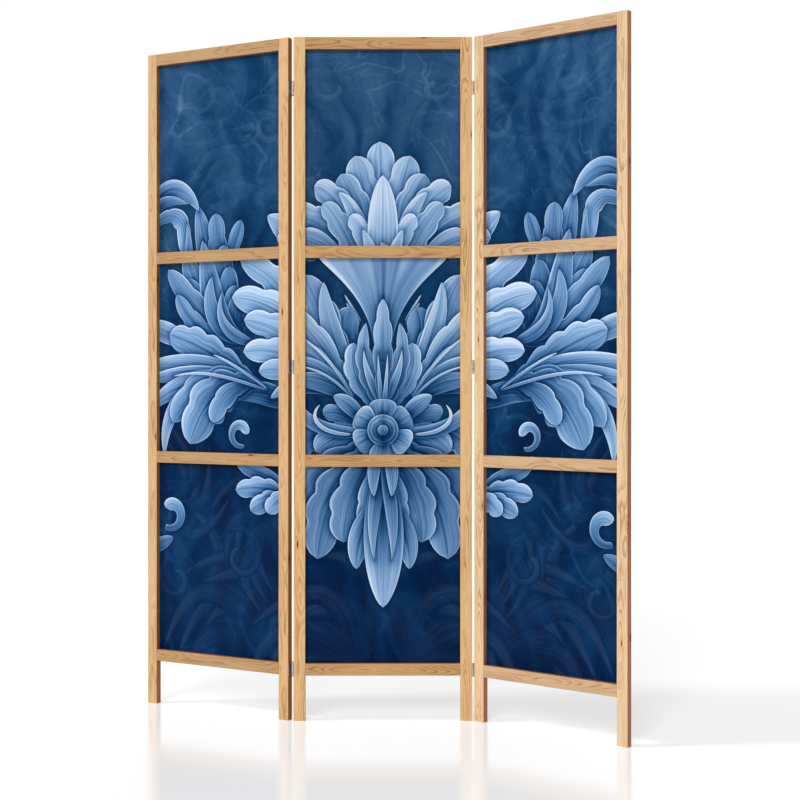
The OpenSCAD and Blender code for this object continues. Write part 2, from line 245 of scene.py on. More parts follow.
def timber_group():
    """Sawn timber: growth rings about a heart behind the face, fibres, pores and small knots."""
    number = "NodeSocketFloat"
    colour = "NodeSocketColor"
    tree, given, out = group_of("sawn timber", {
        "Board": ("NodeSocketVector", None), "Facing": ("NodeSocketVector", None),
        "Seed": (number, 0.0), "Ring Gap": (number, ring_gap), "Heart": (number, heart_off),
        "Knots": (number, 1.0), "Pale": (colour, dye(*batten_pale["centre"])),
        "Dark": (colour, dye(*batten_dark["centre"]))},
        {"Color": colour, "Roughness": number, "Height": number})
    shift = calc(tree, "MULTIPLY", given["Seed"], 713.0)
    shift = add(tree, "ShaderNodeCombineXYZ", {"Z": shift}).outputs[0]
    board = add(tree, "ShaderNodeVectorMath", {0: given["Board"], 1: shift}).outputs[0]
    parts = add(tree, "ShaderNodeSeparateXYZ", {0: board}).outputs

    # Slow drift of the heart along the board, which draws the long nested V figures.
    slow = add(tree, "ShaderNodeMapping", {"Vector": board, "Scale": (0.010, 0.010, 0.0032)})
    slow = cloud(tree, slow.outputs[0], 1.0, 2.0, 0.5)
    slow = add(tree, "ShaderNodeSeparateColor", {0: slow.outputs["Color"]}).outputs

    # Knots: sparse long cells, most of them left out, that push the rings aside.
    cells = add(tree, "ShaderNodeMapping", {"Vector": board, "Scale": (0.052, 0.03, 0.0105)})
    cells = add(tree, "ShaderNodeTexVoronoi", {"Vector": cells.outputs[0], "Scale": 1.0})
    pick = add(tree, "ShaderNodeSeparateColor", {0: cells.outputs["Color"]}).outputs[0]
    pick = calc(tree, "GREATER_THAN", pick, 1 - knot_share)
    pick = calc(tree, "MULTIPLY", pick, given["Knots"])
    near = rise(tree, cells.outputs["Distance"], 0.34, 0.04)
    near = calc(tree, "MULTIPLY", near, pick)
    knot = rise(tree, cells.outputs["Distance"], 0.115, 0.085)
    knot = calc(tree, "MULTIPLY", knot, pick)

    side = calc(tree, "MULTIPLY_ADD", slow[0], drift_across, -drift_across / 2)
    side = calc(tree, "ADD", parts["X"], side)
    deep = calc(tree, "MULTIPLY_ADD", slow[1], drift_deep, -drift_deep / 2)
    deep = calc(tree, "ADD", deep, given["Heart"])
    deep = calc(tree, "ADD", deep, parts["Y"])
    round_heart = add(tree, "ShaderNodeCombineXYZ", {"X": side, "Y": deep}).outputs[0]
    radius = add(tree, "ShaderNodeVectorMath", {0: round_heart}, operation="LENGTH")
    radius = calc(tree, "MULTIPLY_ADD", near, knot_push, radius.outputs["Value"])
    wavy = add(tree, "ShaderNodeMapping", {"Vector": board, "Scale": (0.12, 0.12, 0.012)})
    wavy = cloud(tree, wavy.outputs[0], 1.0, 3.0, 0.6).outputs[0]
    radius = calc(tree, "MULTIPLY_ADD", wavy, ring_waver, radius)
    rings = calc(tree, "DIVIDE", radius, given["Ring Gap"])
    season = calc(tree, "FRACT", rings)
    late = calc(tree, "MULTIPLY", rise(tree, season, 0.42, 0.93), rise(tree, season, 1.0, 0.95))

    fine = add(tree, "ShaderNodeMapping", {"Vector": board, "Scale": (0.9, 0.9, 0.012)})
    fine = cloud(tree, fine.outputs[0], 1.0, 3.0, 0.65).outputs[0]
    patch = add(tree, "ShaderNodeMapping", {"Vector": board, "Scale": (0.05, 0.05, 0.006)})
    patch = cloud(tree, patch.outputs[0], 1.0, 2.0, 0.5).outputs[0]
    pores = add(tree, "ShaderNodeMapping", {"Vector": board, "Scale": (2.6, 2.6, 0.16)})
    pores = rise(tree, cloud(tree, pores.outputs[0], 1.0, 1.0, 0.5).outputs[0], 0.66, 0.74)

    streak = calc(tree, "MULTIPLY_ADD", fine, 1.2, -0.60)
    strength = rise(tree, patch, 0.30, 0.72, 0.22, 1.0)
    depth = calc(tree, "MULTIPLY_ADD", calc(tree, "MULTIPLY", late, strength), late_wood, streak)
    depth = calc(tree, "ADD", depth, calc(tree, "MULTIPLY_ADD", patch, 0.5, -0.12), clamp=True)
    shade = tint(tree, depth, given["Pale"], given["Dark"])
    shade = tint(tree, calc(tree, "MULTIPLY", pores, 0.35), shade, pore_brown)
    shade = tint(tree, calc(tree, "MULTIPLY", near, 0.45), shade, knot_halo)
    shade = tint(tree, knot, shade, knot_brown)

    # Painted shade: the narrow edges, which turn away from the light, are painted browner than the
    # planed faces.
    facing = add(tree, "ShaderNodeSeparateXYZ", {0: given["Facing"]}).outputs["X"]
    edge = rise(tree, calc(tree, "ABSOLUTE", facing), 0.80, 0.97, 0.0, 0.85)
    shade = tint(tree, edge, shade, painted_edge_shade, "MULTIPLY")
    tree.links.new(shade, out.inputs["Color"])
    dull = calc(tree, "MULTIPLY_ADD", late, -0.10, 0.56)
    tree.links.new(calc(tree, "MULTIPLY_ADD", fine, 0.10, dull), out.inputs["Roughness"])
    relief = calc(tree, "MULTIPLY_ADD", late, 0.5, fine)
    relief = calc(tree, "MULTIPLY_ADD", pores, -0.8, relief)
    tree.links.new(relief, out.inputs["Height"])
    return tree


sawn_timber = timber_group()


def timber(name, node, panel, across_panel, pale, dark, seed, gap=ring_gap, heart=heart_off,
           knots=1.0):
    """Gives a wooden node its own board cut from the same timber."""
    material, tree, shader = finish_of(name)
    board, facing = board_space(tree, node, panel, across_panel)
    wood = add(tree, "ShaderNodeGroup", {}, node_tree=sawn_timber)
    tree.links.new(board, wood.inputs["Board"])
    tree.links.new(facing, wood.inputs["Facing"])
    wood.inputs["Seed"].default_value = seed
    wood.inputs["Ring Gap"].default_value = gap
    wood.inputs["Heart"].default_value = heart
    wood.inputs["Knots"].default_value = knots
    wood.inputs["Pale"].default_value = pale
    wood.inputs["Dark"].default_value = dark
    bump = add(tree, "ShaderNodeBump", {"Height": wood.outputs["Height"], "Strength": 0.35,
               "Distance": grain_relief})
    tree.links.new(wood.outputs["Color"], shader.inputs["Base Color"])
    tree.links.new(wood.outputs["Roughness"], shader.inputs["Roughness"])
    tree.links.new(bump.outputs[0], shader.inputs["Normal"])
    shader.inputs["Specular IOR Level"].default_value = wax_gloss
    mesh = frame["nodes"][node].data
    mesh.materials.clear()
    mesh.materials.append(material)


battens = ("left_stile", "right_stile", "top_rail", "upper_rail", "lower_rail", "bottom_rail")
for p, panel in enumerate(panels):
    for b, batten in enumerate(battens):
        node = f"{panel}_panel_{batten}"
        is_rail = "rail" in batten
        tone = rail_tone[panel] if is_rail else (1, 1, 1)
        pale = dye(*np.multiply(batten_pale[panel], tone))
        dark = dye(*np.multiply(batten_dark[panel], tone))
        board_number = 1.0 + len(battens) * p + b
        timber(f"pine_{node}", node, panel, is_rail, pale, dark, board_number)


# ---- Dowels -------------------------------------------------------------------------------
# Fluted beech dowels, glued blind, two in every joint between a rail and a stile. Beech is
# closer grained and pinker than the pine round it, and it has no knots.
beech_pale = dye(226, 186, 148)
beech_dark = dye(196, 146, 104)
beech_first_board = 31.0
beech_ring_gap = 1.6
beech_heart_off = 60.0
for p, panel in enumerate(panels):
    node = f"{panel}_panel_dowels"
    timber(f"beech_{node}", node, panel, True, beech_pale, beech_dark, beech_first_board + p,
           gap=beech_ring_gap, heart=beech_heart_off, knots=0.0)


# ---- Printed cloths -----------------------------------------------------------------------
# One flat cloth of white non-woven fleece for each panel, printed right across the wall with
# a single ornament: leaves about a rosette on a mottled navy ground. It lies in the rabbet.
# The print is laid out in millimetres from the wall's middle and from the floor.
cloth_grid = 6.1
grid_jitter = 0.3
jitter_seed = 7
line_steps = 40
light_lean = (-0.45, 0.89)
shadow_reach = 9.0
shadow_margin = 40
far_away = 999
stile_width_m = 0.029
panel_gap_m = 0.005
end_trim = 1e-4
shapes = {
    "lobe": (0.85, 0.50),
    "leaf": (0.62, 0.72),
    "blade": (0.50, 1.05),
    "fan": (1.25, 0.34),
    "ribbon": (0.30, 0.55),
    "disc": (0.50, 0.50),
}


def half_width(run, shape, wide, lobes, bite):
    """Half width of a leaf along its run from base, 0, to tip, 1, with lobes that lean to the tip."""
    base, tip = shapes[shape]
    peak = base / (base + tip)
    width = wide * (run / peak) ** base * ((1 - run) / (1 - peak)) ** tip
    if lobes:
        part = (run * lobes) % 1.0
        width = width * (1 - bite + bite * np.sin(math.pi * part ** 1.5) ** 0.5)
    return width


def leaf(path, wide, shape="leaf", tone=0.6, lobes=0, bite=0.22, cover=1.0):
    """A painted leaf: its mid-line bends smoothly along a path of a few points, in millimetres."""
    t = np.linspace(0, 1, line_steps)[:, None]
    last = len(path) - 1
    line = sum(math.comb(last, k) * t ** k * (1 - t) ** (last - k) * np.array(spot, float)
               for k, spot in enumerate(path))
    run = np.clip(t[:, 0], end_trim, 1 - end_trim)
    return {"line": line, "half": half_width(run, shape, wide, lobes, bite), "tone": tone,
            "cover": cover}


def acanthus(path, wide, tone, count=3, sides=(1, -1)):
    """A broad leaf built as acanthus is drawn: lobes off one rib, the lower over the upper."""
    rib = leaf(path, wide * 0.50, "leaf", tone + 0.05)
    way = np.gradient(rib["line"], axis=0)
    way /= np.linalg.norm(way, axis=1)[:, None]
    made = []
    for k in range(count):
        high = int((0.86 - 0.50 * k / max(count - 1, 1)) * (line_steps - 1))
        for side in sides:
            out = side * np.array((-way[high][1], way[high][0]))
            root = rib["line"][int(high * 0.30)]
            middle = rib["line"][int(high * 0.80)] + out * wide * 0.55
            tip = rib["line"][high] + out * wide * (0.80 + 0.12 * k) + way[high] * wide * 0.45
            made.append(leaf((root, middle, tip), wide * 0.40, "lobe", tone - 0.05 * k
                             + 0.04 * side))
    made.append(rib)
    return made


def trumpet(base, top, wide, tone):
    """A flared fan of combed plumes with rolled corners."""
    t = np.linspace(0, 1, line_steps)
    line = np.array(base) * (1 - t[:, None]) + np.array(top) * t[:, None]
    half = wide * (0.10 + 0.90 * t ** 2.3) * (1 - np.clip(t, 0, 0.9999) ** 24) ** 0.5
    return {"line": line, "half": half, "tone": tone, "cover": 1.0}


def curl(centre, reach, start, turns, wide, tone=0.6, cover=1.0, inner=0.28):
    """A leaf rolled into a scroll: its line winds in towards centre from the angle start."""
    t = np.linspace(0, 1, line_steps)
    angle = math.radians(start) + turns * 2 * math.pi * t
    radius = reach * (inner + (1 - inner) * (1 - t) ** 1.2)
    line = np.array(centre) + radius[:, None] * np.stack([np.cos(angle), np.sin(angle)], 1)
    run = np.clip(t, end_trim, 1 - end_trim)
    half = wide * (0.35 + 0.65 * run) * (1 - run ** 9) ** 0.5
    return {"line": line, "half": half, "tone": tone, "cover": cover}


def disc(centre, radius, tone):
    """A round boss of the rosette."""
    t = np.linspace(-1, 1, line_steps)
    line = np.array(centre) + radius * np.stack([0 * t, t], 1)
    run = np.clip((t + 1) / 2, end_trim, 1 - end_trim)
    return {"line": line, "half": radius * 2 * np.sqrt(run * (1 - run)), "tone": tone,
            "cover": 1.0}


def both(*halves):
    """Each left-hand leaf, and the same leaf mirrored on the right."""
    made = []
    for one in halves:
        made.append(one)
        made.append({**one, "line": one["line"] * (-1, 1)})
    return made


def smoke(centre, reach, aim, bend, count, cover):
    """Faint plumes in the ground colour that leave one place and drift the same way."""
    made = []
    for k in range(count):
        uneven = (k * 0.618) % 1.0
        angle = math.radians(aim + 15 * k + 9 * uneven)
        swing = math.radians(bend * (0.7 + 0.6 * uneven))
        length = reach * (1 - 0.35 * uneven)
        near = np.array((math.cos(angle), math.sin(angle))) * length
        far = np.array((math.cos(angle + swing), math.sin(angle + swing))) * length
        made.append(leaf((centre, centre + near * 0.5, centre + near * 0.95, centre + far),
                         length * (0.085 + 0.05 * uneven), "leaf", 0.44, cover=cover))
    return made


ornament = []
ornament += both(
    *smoke((-40, 1480), 330, 70, 70, 7, 0.15), *smoke((-230, 1360), 250, 20, 75, 7, 0.12),
    *smoke((-600, 1380), 330, 20, 75, 8, 0.11), *smoke((-300, 1330), 280, 95, 60, 6, 0.12),
    *smoke((-420, 1640), 240, 200, -70, 7, 0.10), *smoke((-600, 200), 330, 40, 60, 8, 0.09),
    *smoke((-300, 180), 340, 60, 65, 8, 0.09), *smoke((-60, 130), 330, 70, 70, 7, 0.08),
    *smoke((-240, 480), 240, 130, 60, 6, 0.08), *smoke((-640, 560), 220, -60, 80, 5, 0.09),
    curl((-300, 1500), 92, 200, -1.1, 15, 0.5, 0.16),
    curl((-500, 1590), 80, -20, 1.2, 14, 0.5, 0.13),
    curl((-130, 1590), 74, -30, 1.1, 13, 0.5, 0.17),
    curl((-380, 400), 80, 150, -1.1, 15, 0.5, 0.11),
    curl((-590, 330), 70, 30, 1.2, 13, 0.5, 0.10),
)
# Side panels, outer spray: a scroll from the edge, standing leaves and a tall trunk leaf.
ornament += both(
    leaf(((-420, 1000), (-440, 1150), (-400, 1200), (-382, 1262)), 24, "lobe", 0.42, 3, 0.20),
    leaf(((-470, 1060), (-492, 1200), (-520, 1306)), 30, "leaf", 0.54),
    leaf(((-450, 1060), (-455, 1200), (-462, 1282)), 30, "lobe", 0.50, 3, 0.20),
    leaf(((-690, 1270), (-640, 1390), (-560, 1370), (-516, 1292)), 24, "leaf", 0.66),
    leaf(((-690, 1262), (-640, 1350), (-590, 1320), (-548, 1312)), 15, "blade", 0.56),
    leaf(((-690, 1230), (-600, 1340), (-540, 1260), (-574, 1188)), 25, "lobe", 0.72, 3, 0.20),
    leaf(((-560, 1130), (-540, 1200), (-556, 1262)), 13, "blade", 0.62),
)
ornament += both(*acanthus(((-352, 950), (-480, 950), (-470, 1080), (-505, 1215)), 78, 0.50, 4))
ornament += both(
    leaf(((-360, 958), (-470, 965), (-520, 1040), (-617, 1142)), 34, "lobe", 0.56, 4, 0.22),
    leaf(((-360, 950), (-480, 950), (-540, 990), (-588, 1076)), 27, "lobe", 0.50, 4, 0.22),
    leaf(((-350, 952), (-450, 960), (-500, 1030), (-474, 1120)), 25, "leaf", 0.60),
    leaf(((-348, 950), (-420, 960), (-470, 1010), (-440, 1082)), 16, "blade", 0.68),
)
# Side panels, wing: broad lobes sweep up to the edge, long strands and a drooping leaf.
ornament += both(
    leaf(((-240, 790), (-330, 850), (-440, 795)), 30, "blade", 0.42),
    leaf(((-325, 838), (-430, 900), (-560, 960), (-690, 1000)), 36, "lobe", 0.62, 4, 0.28),
    leaf(((-325, 838), (-430, 900), (-520, 950), (-612, 972)), 48, "lobe", 0.62, 5, 0.28),
    leaf(((-325, 838), (-440, 880), (-560, 900), (-700, 890)), 34, "leaf", 0.70),
    leaf(((-325, 836), (-430, 862), (-560, 880), (-700, 850)), 26, "leaf", 0.62),
    leaf(((-330, 834), (-440, 858), (-600, 870), (-690, 760)), 30, "leaf", 0.66),
    leaf(((-330, 834), (-500, 880), (-640, 810), (-628, 652)), 25, "leaf", 0.74),
    leaf(((-300, 832), (-420, 880), (-540, 850), (-602, 742)), 44, "lobe", 0.54, 4, 0.28),
    leaf(((-330, 834), (-420, 850), (-500, 820), (-545, 686)), 66, "lobe", 0.54, 4, 0.28),
    leaf(((-345, 838), (-400, 845), (-460, 800), (-468, 742)), 30, "lobe", 0.58, 3, 0.20),
    leaf(((-300, 826), (-440, 868), (-520, 880), (-600, 862)), 4.0, "ribbon", 0.96),
    leaf(((-300, 830), (-400, 890), (-430, 905), (-470, 918)), 3.4, "ribbon", 0.92),
)
# Side panels, low: a crook by the joint, a small flower under it and a crook at the edge.
ornament += both(
    leaf(((-230, 560), (-300, 640), (-380, 600), (-398, 668)), 20, "leaf", 0.56),
    curl((-384, 716), 34, -80, -0.80, 16, 0.70, 1.0, 0.5),
    leaf(((-230, 560), (-300, 590), (-398, 570)), 30, "lobe", 0.60, 4, 0.28),
    leaf(((-225, 550), (-290, 560), (-352, 520)), 28, "lobe", 0.54, 3, 0.20),
    leaf(((-215, 560), (-270, 560), (-300, 516)), 26, "lobe", 0.62, 3, 0.20),
    leaf(((-690, 400), (-640, 420), (-600, 440)), 18, "leaf", 0.40),
    curl((-606, 502), 40, -110, 0.70, 21, 0.66, 1.0, 0.55),
)
# Pale wing lobes that cross the joints between the panels.
ornament += both(
    leaf(((-170, 1150), (-230, 1230), (-300, 1268)), 34, "leaf", 0.74),
    leaf(((-90, 860), (-180, 1000), (-250, 1120), (-384, 1160)), 42, "lobe", 0.72, 4, 0.28),
    leaf(((-90, 850), (-180, 980), (-280, 1060), (-410, 1064)), 46, "lobe", 0.78, 4, 0.28),
    leaf(((-90, 840), (-180, 940), (-270, 1000), (-372, 1006)), 40, "lobe", 0.72, 4, 0.28),
    leaf(((-90, 830), (-180, 900), (-270, 940), (-374, 924)), 38, "lobe", 0.76, 4, 0.28),
    leaf(((-90, 820), (-170, 870), (-250, 890), (-326, 874)), 30, "lobe", 0.66, 3, 0.20),
    leaf(((-85, 815), (-170, 850), (-230, 850), (-290, 806)), 22, "leaf", 0.50),
    leaf(((-60, 1120), (-120, 1230), (-180, 1270), (-250, 1262)), 46, "lobe", 0.66, 3, 0.20),
    leaf(((-55, 1110), (-130, 1190), (-200, 1220), (-270, 1205)), 36, "lobe", 0.60, 3, 0.20),
)
# Crown: broad lobes in two rows behind a pale bud.
ornament += [leaf(((0, 1040), (0, 1330), (-8, 1450)), 44, "lobe", 0.72, 4, 0.28)]
ornament += both(
    leaf(((-14, 1060), (-30, 1300), (-70, 1414)), 44, "lobe", 0.68, 4, 0.28),
    leaf(((-26, 1080), (-50, 1280), (-106, 1368)), 40, "lobe", 0.62, 4, 0.28),
    leaf(((-26, 1060), (-60, 1230), (-120, 1330), (-172, 1338)), 38, "lobe", 0.72, 4, 0.28),
    leaf(((-30, 1060), (-70, 1180), (-110, 1260), (-150, 1296)), 30, "lobe", 0.68, 4, 0.28),
    leaf(((-16, 1060), (-40, 1200), (-70, 1300), (-112, 1322)), 20, "leaf", 0.76),
    leaf(((-10, 1060), (-36, 1200), (-60, 1250), (-84, 1262)), 24, "lobe", 0.84, 3, 0.20),
)
ornament += [leaf(((0, 1080), (0, 1250), (0, 1366)), 38, "leaf", 0.92)]
ornament += both(leaf(((-6, 1080), (-20, 1160), (-50, 1230)), 16, "leaf", 0.74))
# Trumpet under the crown, and the thin bright quills beside it.
ornament += [trumpet((0, 900), (0, 1186), 206, 0.56)]
ornament += both(
    leaf(((-56, 1000), (-74, 1030), (-96, 1066)), 3.2, "ribbon", 1.0),
    leaf(((-58, 992), (-74, 1016), (-92, 1046)), 2.8, "ribbon", 0.95),
)
# Side acanthus: tall leaves that rise from beside the rosette.
ornament += both(
    leaf(((-66, 800), (-76, 900), (-110, 980), (-82, 1034)), 36, "lobe", 0.40, 3, 0.20),
    leaf(((-76, 806), (-110, 920), (-150, 1020), (-196, 1116)), 42, "lobe", 0.60, 4, 0.28),
    leaf(((-76, 806), (-100, 920), (-150, 1000), (-148, 1098)), 25, "leaf", 0.70),
    leaf(((-76, 806), (-120, 900), (-180, 980), (-246, 1030)), 34, "lobe", 0.70, 3, 0.20),
    leaf(((-76, 804), (-130, 880), (-190, 930), (-250, 950)), 28, "lobe", 0.74, 3, 0.20),
    leaf(((-78, 802), (-140, 870), (-190, 900), (-250, 900)), 24, "leaf", 0.60),
    leaf(((-78, 802), (-140, 850), (-190, 860), (-240, 850)), 22, "leaf", 0.50),
    leaf(((-74, 806), (-110, 880), (-160, 930), (-210, 965)), 3.6, "ribbon", 0.98),
    leaf(((-76, 804), (-120, 860), (-170, 885), (-230, 890)), 3.0, "ribbon", 0.92),
)
# Spear flower above the rosette.
ornament += both(
    leaf(((-4, 770), (-66, 830), (-86, 880), (-72, 946)), 25, "lobe", 0.72, 4, 0.28),
    leaf(((-4, 780), (-30, 850), (-64, 900), (-42, 996)), 24, "leaf", 0.62, 4, 0.28),
    leaf(((-4, 790), (-30, 850), (-46, 880), (-48, 930)), 10, "blade", 0.80),
)
ornament += [leaf(((0, 780), (0, 960), (0, 1056)), 26, "leaf", 0.66, 4, 0.28)]
ornament += both(leaf(((-2, 780), (-10, 850), (-12, 920)), 5, "blade", 0.84))
# Below: low petals, ribbon scrolls, almond leaves and the hanging fan.
ornament += both(
    leaf(((-120, 730), (-200, 720), (-220, 660)), 36, "lobe", 0.46, 3, 0.20),
    leaf(((-30, 720), (-110, 730), (-168, 672)), 36, "lobe", 0.50, 3, 0.20),
    leaf(((-60, 740), (-110, 780), (-150, 768)), 24, "lobe", 0.42, 3, 0.20),
    leaf(((-50, 750), (-86, 800), (-124, 812)), 20, "leaf", 0.54),
    leaf(((-55, 722), (-150, 712), (-240, 760), (-226, 850)), 17, "ribbon", 0.72),
    leaf(((-80, 716), (-160, 716), (-190, 760), (-158, 790)), 5, "ribbon", 1.0),
    leaf(((-8, 700), (-110, 660), (-176, 610), (-194, 540)), 46, "lobe", 0.32, 4, 0.28),
    leaf(((-8, 690), (-90, 640), (-150, 560), (-164, 404)), 56, "lobe", 0.38, 5, 0.28),
    leaf(((-6, 690), (-60, 620), (-100, 540), (-98, 446)), 48, "lobe", 0.42, 4, 0.28),
    leaf(((-4, 690), (-24, 600), (-40, 540), (-44, 480)), 30, "lobe", 0.58, 3, 0.20),
    leaf(((0, 560), (-50, 490), (-70, 440), (-66, 378)), 30, "leaf", 0.53),
)
ornament += [leaf(((0, 640), (4, 430), (0, 282)), 50, "leaf", 0.65)]
ornament += both(
    leaf(((-2, 640), (-34, 500), (-22, 400)), 16, "blade", 0.56),
    leaf(((-4, 700), (-30, 640), (-22, 560)), 16, "leaf", 0.50),
)
# Rosette: six petals round a stepped boss.
middle = np.array((0, 727))
for k in range(6):
    way = np.array((math.cos(math.pi * (k + 0.5) / 3), math.sin(math.pi * (k + 0.5) / 3)))
    ornament += [leaf((middle + way * 22, middle + way * 55, middle + way * 78), 34, "lobe",
                      0.50 + 0.05 * (k % 3))]
for size, tone in ((39, 0.62), (31, 0.52), (21, 0.26), (13, 0.46)):
    ornament += [disc(middle, size, tone)]


def outline_of(one):
    """The two sides of a leaf's edge, joined at the tip and the base."""
    way = np.gradient(one["line"], axis=0)
    way /= np.linalg.norm(way, axis=1)[:, None] + 1e-9
    side = np.stack([-way[:, 1], way[:, 0]], 1) * one["half"][:, None]
    return np.vstack([one["line"] + side, (one["line"] - side)[::-1]])


def place_on(one, spots):
    """Where spots lie on a leaf: run along it, share of the half width, gap to its edge, light."""
    line = one["line"]
    steps = np.diff(line, axis=0)
    length = np.linalg.norm(steps, axis=1) + 1e-9
    way = steps / length[:, None]
    best = ((spots[:, None, :] - line[None, :-1, :] - steps[None] / 2) ** 2).sum(2).argmin(1)
    gap = spots - line[best]
    along = np.clip((gap * way[best]).sum(1), 0, length[best])
    foot = line[best] + way[best] * along[:, None]
    run = (best + along / length[best]) / len(steps)
    across = np.stack([-way[best][:, 1], way[best][:, 0]], 1)
    gap = spots - foot
    far = np.linalg.norm(gap, axis=1)
    signed = np.where((gap * across).sum(1) < 0, -far, far)
    half = np.interp(run, np.linspace(0, 1, len(line)), one["half"])
    share = np.clip(signed / np.maximum(half, 0.8), -1.3, 1.3)
    light = share * (across @ np.array(light_lean))
    return run, share, far - half, light


def painted_cloth(middle, width, low, high):
    """Front of one cloth: returns its corners, faces and what the paint needs, in millimetres."""
    left, right = middle - width / 2, middle + width / 2
    rng = np.random.default_rng(jitter_seed)
    across = np.linspace(left, right, int(width / cloth_grid) + 1)
    up = np.linspace(low, high, int((high - low) / cloth_grid) + 1)
    spots = np.array([(x, z) for x in across[1:-1] for z in up[1:-1]])
    spots += rng.uniform(-grid_jitter, grid_jitter, spots.shape) * cloth_grid
    rim = ([(x, low) for x in across[:-1]] + [(right, z) for z in up[:-1]]
           + [(x, high) for x in across[:0:-1]] + [(left, z) for z in up[:0:-1]])
    points = list(rim)
    edges = [(k, (k + 1) % len(rim)) for k in range(len(rim))]
    here = []
    for one in ornament:
        edge = outline_of(one)
        if (edge[:, 0].max() < left or edge[:, 0].min() > right
                or edge[:, 1].max() < low or edge[:, 1].min() > high):
            continue
        here.append(one)
        start = len(points)
        points += [tuple(spot) for spot in edge]
        edges += [(start + k, start + (k + 1) % len(edge)) for k in range(len(edge))]
    points += [tuple(spot) for spot in spots]
    spots, _, faces, _, _, _ = geometry.delaunay_2d_cdt(
        [Vector(spot) for spot in points], edges, [], 0, 1e-4, False)
    spots = np.array([tuple(spot) for spot in spots])
    faces = np.array(faces)
    centre = spots[faces].mean(1)
    inside = ((centre > (left, low)) & (centre < (right, high))).all(1)
    faces = faces[inside]
    centre = centre[inside]
    used, faces = np.unique(faces, return_inverse=True)
    faces = faces.reshape(-1, 3)
    spots = spots[used]

    top = np.full(len(faces), -1)
    paint = np.zeros((len(faces), 3, 3))
    lay = np.zeros((len(faces), 3, 3))
    cover = np.zeros(len(faces))
    shade_below = np.zeros(len(spots))
    for k in reversed(range(len(here))):
        one = here[k]
        reach = one["half"].max() + shadow_margin
        span_low = one["line"].min(0) - reach
        span_high = one["line"].max(0) + reach
        close = ((spots > span_low) & (spots < span_high)).all(1)
        face_close = np.nonzero(close[faces].all(1) & (top < 0))[0]
        run, share, light = (np.zeros(len(spots)) for _ in range(3))
        gap = np.full(len(spots), float(far_away))
        run[close], share[close], gap[close], light[close] = place_on(one, spots[close])
        if len(face_close):
            mine = face_close[place_on(one, centre[face_close])[2] < 0]
            top[mine] = k
            paint[mine, :, 0] = run[faces[mine]]
            paint[mine, :, 1] = share[faces[mine]]
            paint[mine, :, 2] = one["tone"]
            lay[mine, :, 0] = shade_below[faces[mine]]
            lay[mine, :, 1] = light[faces[mine]]
            lay[mine, :, 2] = 0.137 * k
            cover[mine] = one["cover"]
        fall = np.exp(-np.clip(gap, 0, None) / shadow_reach) * one["cover"]
        shade_below = np.maximum(shade_below, fall)
    bare = top < 0
    lay[bare, :, 0] = shade_below[faces[bare]]
    return spots, faces, paint, lay, cover


def cloth_solid(name, panel):
    """A cloth as a thin closed sheet in its rabbet, with its print laid on both sides."""
    low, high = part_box(f"{panel}_panel_cloth")
    rest = Matrix.Rotation(-fold_of(panel), 3, "Z")
    corners = np.array([tuple(rest @ vertex.co) for vertex
                        in frame["nodes"][f"{panel}_panel_cloth"].data.vertices])
    flat_low = corners.min(0)
    flat_high = corners.max(0)
    size = (flat_high - flat_low) * 1000
    order = panels.index(panel) - 1
    left_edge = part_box("centre_panel_left_stile")[0].x
    right_inner_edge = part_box("centre_panel_right_stile")[0].x
    pitch = (right_inner_edge - left_edge + stile_width_m + panel_gap_m) * 1000
    spots, faces, paint, lay, cover = painted_cloth(
        order * pitch, size[0], flat_low[2] * 1000, flat_high[2] * 1000)
    count = len(spots)
    x = flat_low[0] + (spots[:, 0] - spots[:, 0].min()) / 1000
    z = spots[:, 1] / 1000
    front = np.stack([x, np.full(count, flat_low[1]), z], 1)
    back = np.stack([x, np.full(count, flat_high[1]), z], 1)
    turn = np.array(rest.inverted())
    vertices = np.vstack([front, back]) @ turn.T
    pairs = np.vstack([faces[:, (0, 1)], faces[:, (1, 2)], faces[:, (2, 0)]])
    known = {tuple(pair) for pair in pairs.tolist()}
    rim = [pair for pair in pairs.tolist() if (pair[1], pair[0]) not in known]
    walls = [(b, a, a + count, b + count) for a, b in rim]
    mesh = bpy.data.meshes.new(name)
    backs = (faces + count)[:, ::-1]
    mesh.from_pydata(vertices.tolist(), [], faces.tolist() + backs.tolist() + walls)
    mesh.update()

    wall_lay = np.zeros((len(walls) * 4, 3))
    for label, data in (("leaf", paint), ("lay", lay)):
        layer = mesh.attributes.new(label, "FLOAT_VECTOR", "CORNER")
        values = np.vstack([data.reshape(-1, 3), data[:, ::-1].reshape(-1, 3), wall_lay])
        layer.data.foreach_set("vector", values.astype(np.float32).ravel())
    layer = mesh.attributes.new("cover", "FLOAT", "CORNER")
    values = np.concatenate([cover.repeat(3), cover.repeat(3), np.zeros(len(walls) * 4)])
    layer.data.foreach_set("value", values.astype(np.float32))
    art = mesh.uv_layers.new(name="art")
    flat_spots = np.vstack([spots, spots]) / 1000
    corner = np.zeros(len(mesh.loops), np.int64)
    mesh.loops.foreach_get("vertex_index", corner)
    art.data.foreach_set("uv", flat_spots[corner].astype(np.float32).ravel())
    side = np.zeros(len(mesh.polygons), np.int32)
    side[len(faces):] = 1
    mesh.polygons.foreach_set("material_index", side)

    made = bpy.data.objects.new(name, mesh)
    bpy.context.collection.objects.link(made)
    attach(made, f"{panel}_panel")
    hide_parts(f"{panel}_panel_cloth")
    return made


